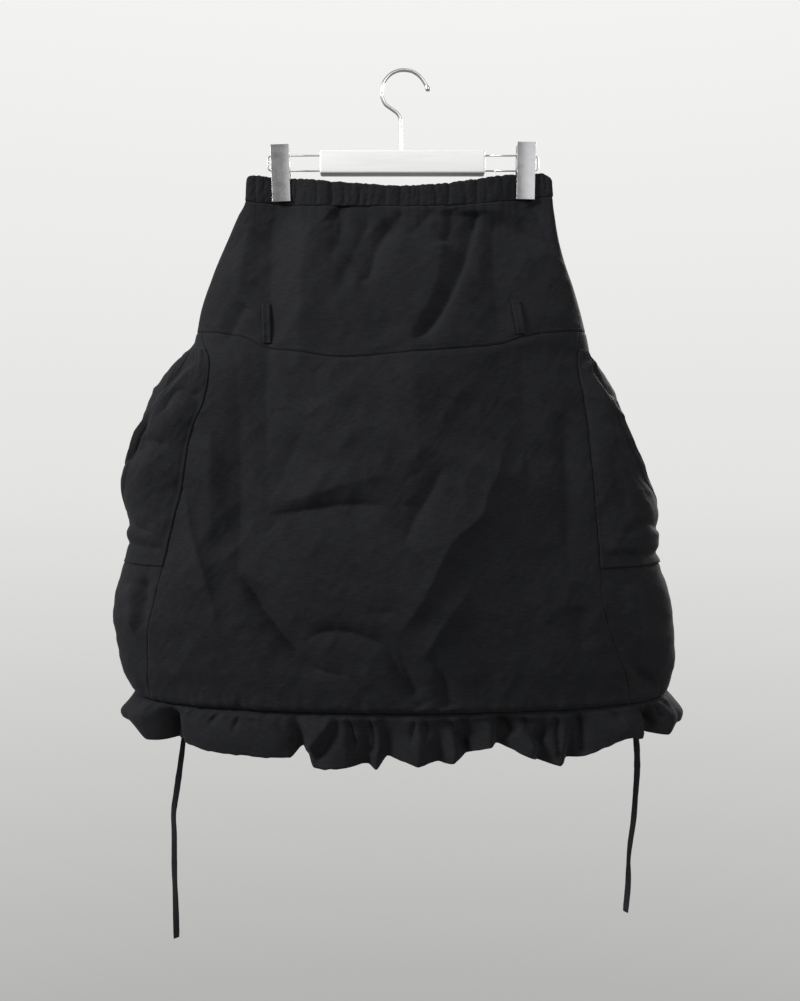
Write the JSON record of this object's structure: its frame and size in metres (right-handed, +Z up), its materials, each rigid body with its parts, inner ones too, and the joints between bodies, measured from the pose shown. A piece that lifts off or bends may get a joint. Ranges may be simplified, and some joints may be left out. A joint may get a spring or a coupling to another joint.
{
  "type": "balloon skirt on clip hanger",
  "caption": "Black balloon skirt with gathered elastic waist, side pockets, ruffle hem and drawcords, hung by its waistband from a clip hanger.",
  "frame": {"origin": "the seat of the hanger's hook: the inner top of its loop, where a rail or a peg carries it", "axes": "+Z up, the skirt's front faces -Y, +X to the right as seen from the front"},
  "size_m": [0.616, 0.143, 0.947],
  "materials": {
    "shell_cloth": "matt, finely crinkled plain weave",
    "casing_cloth": "matt, gathered over elastic",
    "tape": "matt self-fabric tape",
    "white_bar": "white satin paint",
    "plated_wire": "bright plated steel wire",
    "plated_clip": "satin plated steel sheet"
  },
  "bodies": {
    "root": {"waistband": "casing_cloth", "yoke_front": "shell_cloth", "yoke_back": "shell_cloth", "front_panel": "shell_cloth", "back_panel": "shell_cloth", "side_panel_left": "shell_cloth", "side_panel_right": "shell_cloth", "pocket_left": "shell_cloth", "pocket_right": "shell_cloth", "belt_loop_left": "shell_cloth", "belt_loop_right": "shell_cloth", "hem_casing": "casing_cloth", "ruffle_front": "shell_cloth", "ruffle_back": "shell_cloth", "drawcord_left": "tape", "drawcord_right": "tape", "hanger_bar": "white_bar", "hanger_hook": "plated_wire", "hanger_rail_left": "plated_wire", "hanger_rail_right": "plated_wire", "clip_left_front": "plated_clip", "clip_left_back": "plated_clip", "clip_left_spring": "plated_wire", "clip_right_front": "plated_clip", "clip_right_back": "plated_clip", "clip_right_spring": "plated_wire"}
  },
  "joints": []
}
